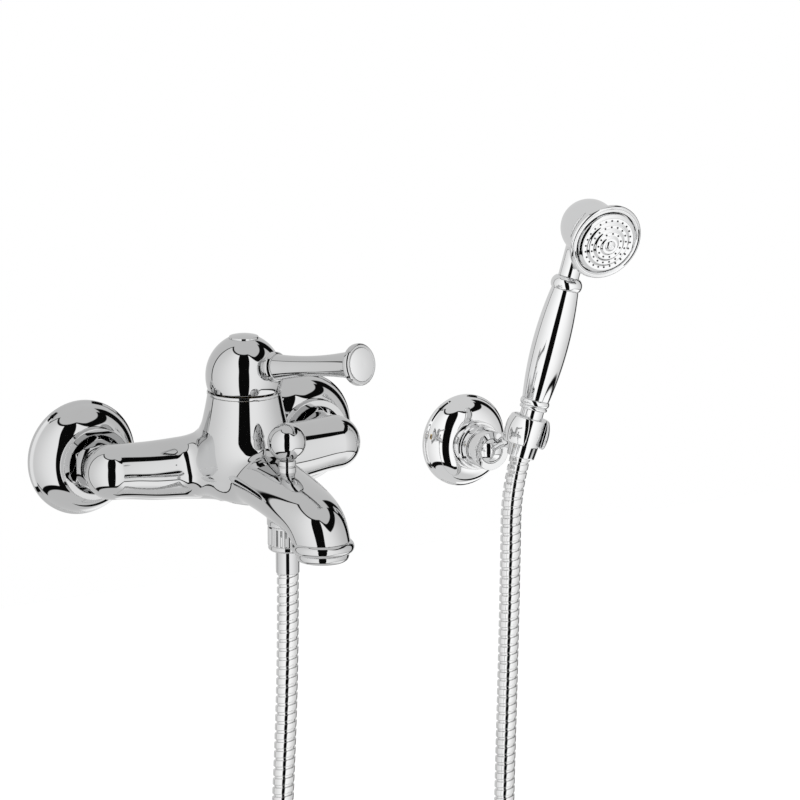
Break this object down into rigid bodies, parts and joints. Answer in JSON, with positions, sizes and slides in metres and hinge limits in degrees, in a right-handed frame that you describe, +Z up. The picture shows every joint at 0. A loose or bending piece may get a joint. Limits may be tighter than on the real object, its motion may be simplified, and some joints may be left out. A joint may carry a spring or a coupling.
{
  "type": "bath mixer with hand shower",
  "caption": "Wall-mounted chrome bath mixer with a ball-headed lever, a diverter, a metal hose and a hand shower clipped into a swivelling wall bracket.",
  "frame": {"origin": "midway between the axes of the two water inlets, in the wall's face", "axes": "+Y into the wall, so the front faces -Y; +Z up; +X to the right as seen from the front"},
  "size_m": [0.3723, 0.2116, 0.7047],
  "materials": {
    "chrome": "polished chrome plate",
    "brass": "bare turned brass",
    "steel": "plain stainless or zinc-plated steel",
    "ceramic": "ground ceramic",
    "plastic": "moulded acetal",
    "rubber": "rubber"
  },
  "bodies": {
    "mixer": {"mixer_body": "chrome", "eccentric_union_left": "brass", "eccentric_union_right": "brass", "wall_flange_left": "chrome", "wall_flange_right": "chrome", "union_nut_left": "chrome", "union_nut_right": "chrome", "inlet_gasket_left": "rubber", "inlet_gasket_right": "rubber", "check_valve_left": "plastic", "check_valve_right": "plastic", "cartridge_housing": "plastic", "cartridge_seal": "rubber", "fixed_ceramic_disc": "ceramic", "cartridge_nut": "brass", "trim_ring": "chrome", "diverter_gland": "chrome", "diverter_spring": "steel", "aerator_housing": "chrome", "aerator_insert": "plastic", "aerator_washer": "rubber", "outlet_nipple": "brass", "hose_washer": "rubber", "hose_nut": "chrome", "lower_ferrule": "chrome", "shower_hose": "chrome", "bracket_plate": "steel", "bracket_screws": "steel", "bracket_flange": "chrome", "socket_base": "chrome", "socket_ring": "chrome"},
    "lever_carrier": {"lever_turret": "plastic", "spindle_pin": "steel"},
    "disc": {"moving_ceramic_disc": "ceramic", "disc_slider": "plastic"},
    "lever": {"spindle": "brass", "lever_dome": "chrome", "head_screw": "steel", "dome_plug": "chrome", "lever_collar": "chrome", "lever_handle": "chrome", "lever_end_cap": "chrome"},
    "diverter": {"diverter_knob": "chrome", "diverter_plunger": "brass", "diverter_seal": "rubber"},
    "bracket_swivel": {"ball_seat": "plastic"},
    "bracket_arm": {"bracket_arm": "chrome"},
    "holder": {"shower_holder": "chrome"},
    "hose_end": {"upper_ferrule": "chrome"},
    "hand_shower": {"hose_cone": "chrome", "shower_washer": "rubber", "shower_tail": "chrome", "tail_collar": "chrome", "shower_grip": "chrome", "grip_ring": "chrome", "shower_head": "chrome", "face_ring": "chrome", "spray_plate": "chrome", "spray_plate_screw": "chrome", "spray_plate_seal": "rubber"}
  },
  "joints": [
    {"name": "lever_turn", "type": "hinge", "parent": "mixer", "child": "lever_carrier", "pos_m": [0, -0.0705, 0.0608], "axis": [0, 0, 1], "range_deg": [-67, 33]},
    {"name": "lever_lift", "type": "hinge", "parent": "lever_carrier", "child": "lever", "pos_m": [0, -0.0705, 0.0608], "axis": [-0.9563, -0.2924, 0], "range_deg": [0, 20]},
    {"name": "disc_slide", "type": "slide", "parent": "lever_carrier", "child": "disc", "axis": [0.2924, -0.9563, 0], "range_m": [0, 0.0052]},
    {"name": "diverter_pull", "type": "slide", "parent": "mixer", "child": "diverter", "axis": [0, 0, 1], "range_m": [0, 0.008], "stiffness_N_per_m": 300, "springref_m": -0.004, "deforming": ["diverter_spring"]},
    {"name": "bracket_pan", "type": "hinge", "parent": "mixer", "child": "bracket_swivel", "pos_m": [0.1935, -0.032, -0.016], "axis": [0, 0, 1], "range_deg": [-30, 8], "deforming": ["shower_hose"]},
    {"name": "bracket_tilt", "type": "hinge", "parent": "bracket_swivel", "child": "bracket_arm", "pos_m": [0.1935, -0.032, -0.016], "axis": [0.9591, 0.283, 0], "range_deg": [-5, 25], "deforming": ["shower_hose"]},
    {"name": "holder_turn", "type": "hinge", "parent": "bracket_arm", "child": "holder", "pos_m": [0.20279, -0.06349, 0.0019], "axis": [0.2485, -0.8421, 0.4787], "range_deg": [-25, 25], "deforming": ["shower_hose"]},
    {"name": "hand_shower_lift", "type": "slide", "parent": "holder", "child": "hose_end", "axis": [0.2694, -0.0395, 0.9622], "range_m": [0, 0.045], "deforming": ["shower_hose"]},
    {"name": "hand_shower_spin", "type": "hinge", "parent": "hose_end", "child": "hand_shower", "pos_m": [0.20279, -0.06349, 0.0019], "axis": [0.2694, -0.0395, 0.9622], "continuous": true}
  ],
  "couplings": [
    {"joint": "disc_slide", "follows": "lever_lift", "m_per_rad": 0.0148}
  ]
}
